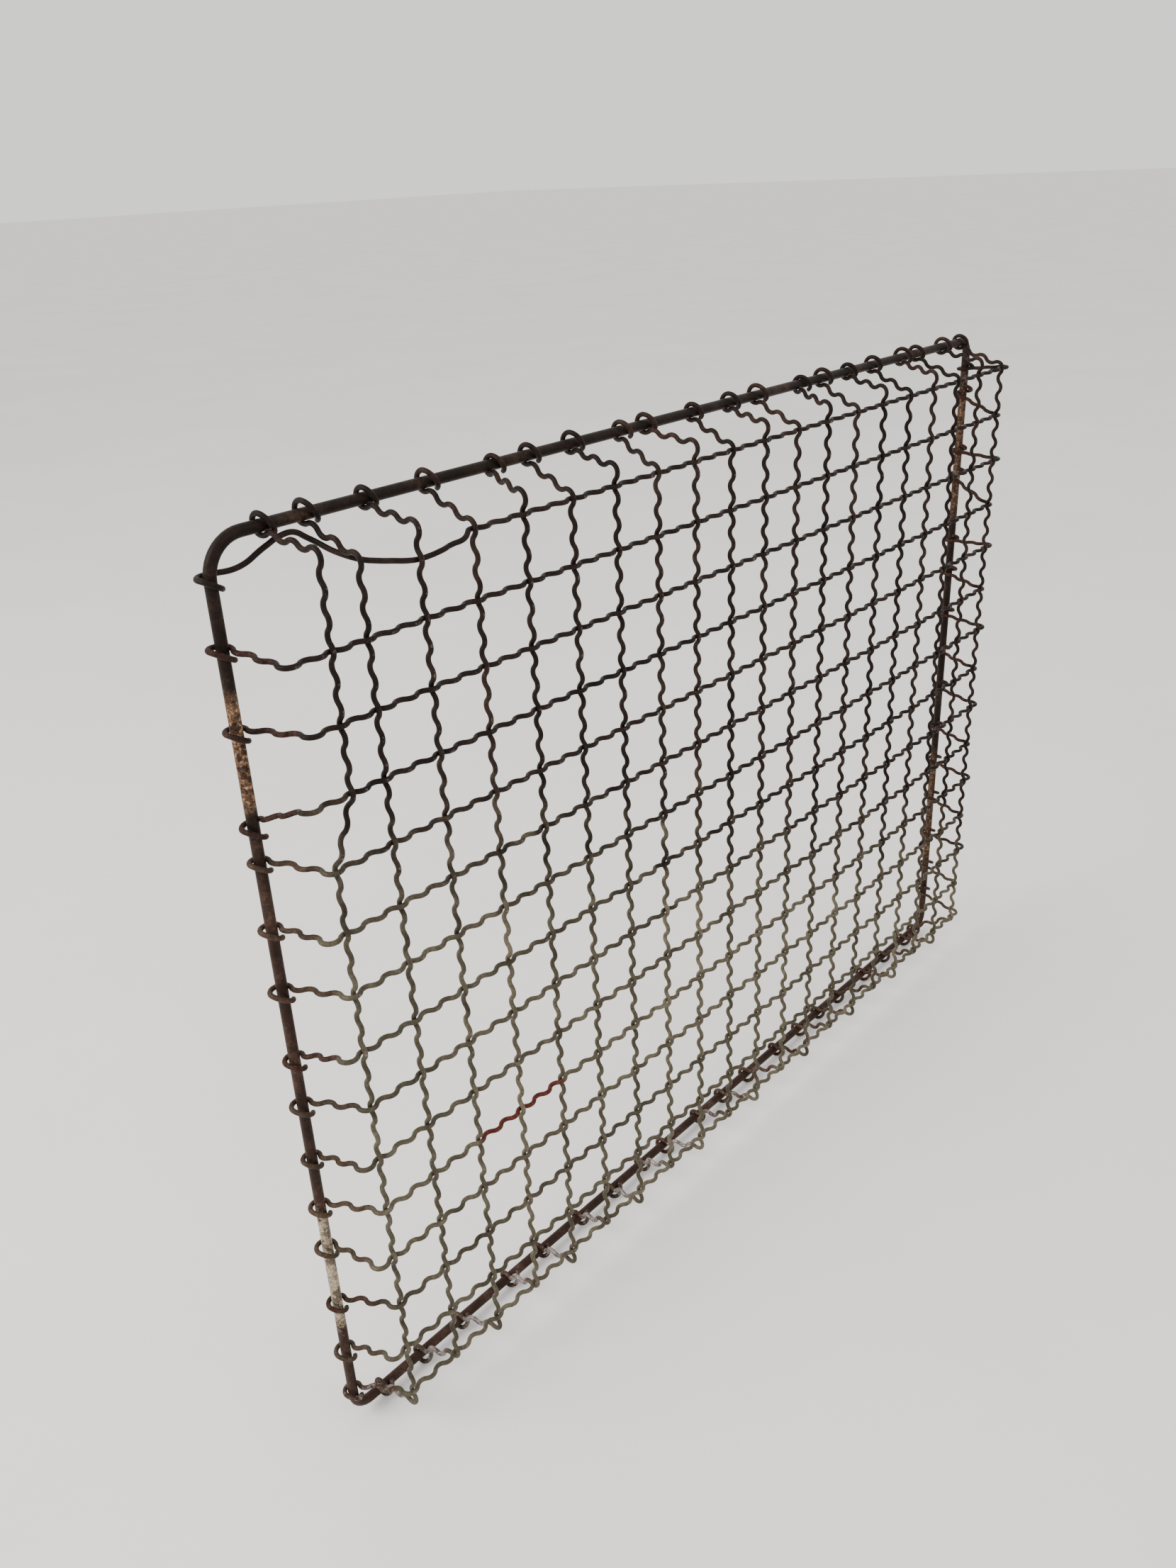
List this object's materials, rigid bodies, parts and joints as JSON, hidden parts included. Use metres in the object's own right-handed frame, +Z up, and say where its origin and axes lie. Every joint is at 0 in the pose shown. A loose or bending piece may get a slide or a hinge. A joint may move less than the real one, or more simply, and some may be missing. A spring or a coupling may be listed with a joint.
{
  "type": "dish drying tray",
  "caption": "Shallow rectangular draining tray of woven crimped wire hooked onto a round rod rim, standing upright on one long side.",
  "frame": {"origin": "middle of the foot of the tray's bounding box, on the surface that the lower long side stands on", "axes": "+X along the tray's long side, +Y from the woven mesh to the open rim, +Z up along the short side"},
  "size_m": [0.6082, 0.0373, 0.4703],
  "materials": {
    "rim_iron": "old iron rod, dark brown patina with tan rust and bare worn patches",
    "cross_wire_iron": "old iron wire, brown-black patina, rust tinted, worn bright on the crests",
    "long_wire_iron": "old iron wire, brown-black patina with red-brown rust in places"
  },
  "bodies": {
    "root": {"rim_rod": "rim_iron", "cross_wire_01": "cross_wire_iron", "cross_wire_02": "cross_wire_iron", "cross_wire_03": "cross_wire_iron", "cross_wire_04": "cross_wire_iron", "cross_wire_05": "cross_wire_iron", "cross_wire_06": "cross_wire_iron", "cross_wire_07": "cross_wire_iron", "cross_wire_08": "cross_wire_iron", "cross_wire_09": "cross_wire_iron", "cross_wire_10": "cross_wire_iron", "cross_wire_11": "cross_wire_iron", "cross_wire_12": "cross_wire_iron", "cross_wire_13": "cross_wire_iron", "cross_wire_14": "cross_wire_iron", "cross_wire_15": "cross_wire_iron", "cross_wire_16": "cross_wire_iron", "cross_wire_17": "cross_wire_iron", "cross_wire_18": "cross_wire_iron", "cross_wire_19": "cross_wire_iron", "cross_wire_20": "cross_wire_iron", "long_wire_01": "long_wire_iron", "long_wire_02": "long_wire_iron", "long_wire_03": "long_wire_iron", "long_wire_04": "long_wire_iron", "long_wire_05": "long_wire_iron", "long_wire_06": "long_wire_iron", "long_wire_07": "long_wire_iron", "long_wire_08": "long_wire_iron", "long_wire_09": "long_wire_iron", "long_wire_10": "long_wire_iron", "long_wire_11": "long_wire_iron", "long_wire_12": "long_wire_iron", "long_wire_13": "long_wire_iron", "long_wire_14": "long_wire_iron", "long_wire_15": "long_wire_iron"}
  },
  "joints": []
}
